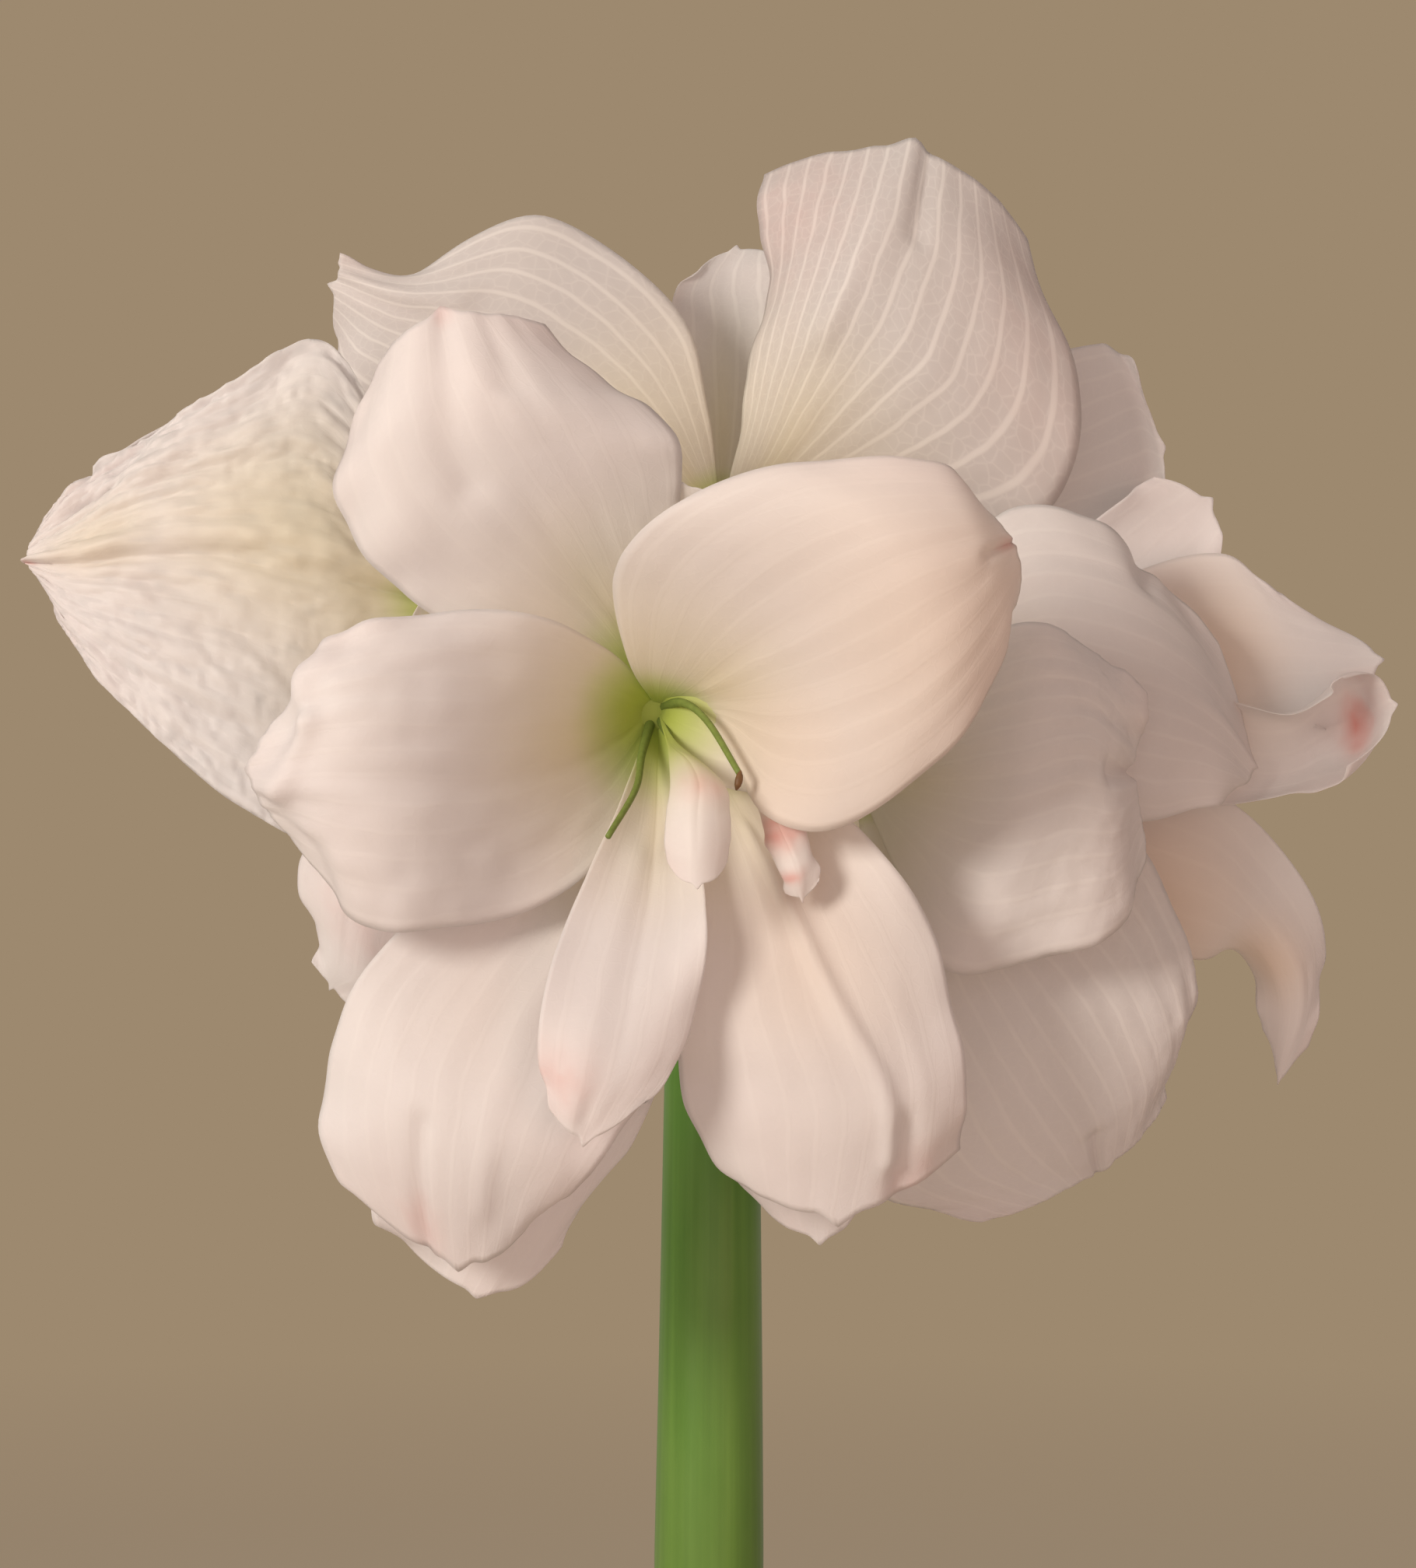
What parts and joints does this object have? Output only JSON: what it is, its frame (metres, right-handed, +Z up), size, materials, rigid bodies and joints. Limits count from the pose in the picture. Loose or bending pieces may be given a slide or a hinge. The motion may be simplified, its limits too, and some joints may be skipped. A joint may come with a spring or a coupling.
{
  "type": "potted amaryllis",
  "caption": "Potted amaryllis in bloom: a bulb in a round clay pot with short strap leaves and one thick stalk carrying double white flowers.",
  "frame": {"origin": "on the surface that the pot stands on, under the middle of the pot and of the flower head", "axes": "+Z up along the stalk, -Y towards the viewer of the open front bloom, +X to that viewer's right"},
  "size_m": [0.2861, 0.2328, 0.6578],
  "materials": {
    "clay": "unglazed, dry and matt",
    "soil": "loose damp potting soil",
    "bulb": "dry papery skin",
    "leaf": "waxy green",
    "stalk": "smooth waxy green",
    "bract": "dry and papery",
    "petal": "thin white petal with a faint pink blush",
    "filament": "smooth pale green"
  },
  "bodies": {
    "root": {"pot": "clay", "soil": "soil", "bulb": "bulb", "leaf_tall_left": "leaf", "leaf_tall_right": "leaf", "leaf_low_left": "leaf", "leaf_low_right": "leaf", "scape": "stalk", "bract_left": "bract", "bract_right": "bract", "bloom_front": "petal", "bloom_left": "petal", "bloom_right": "petal", "bloom_back": "petal", "stamens_front": "filament"}
  },
  "joints": []
}
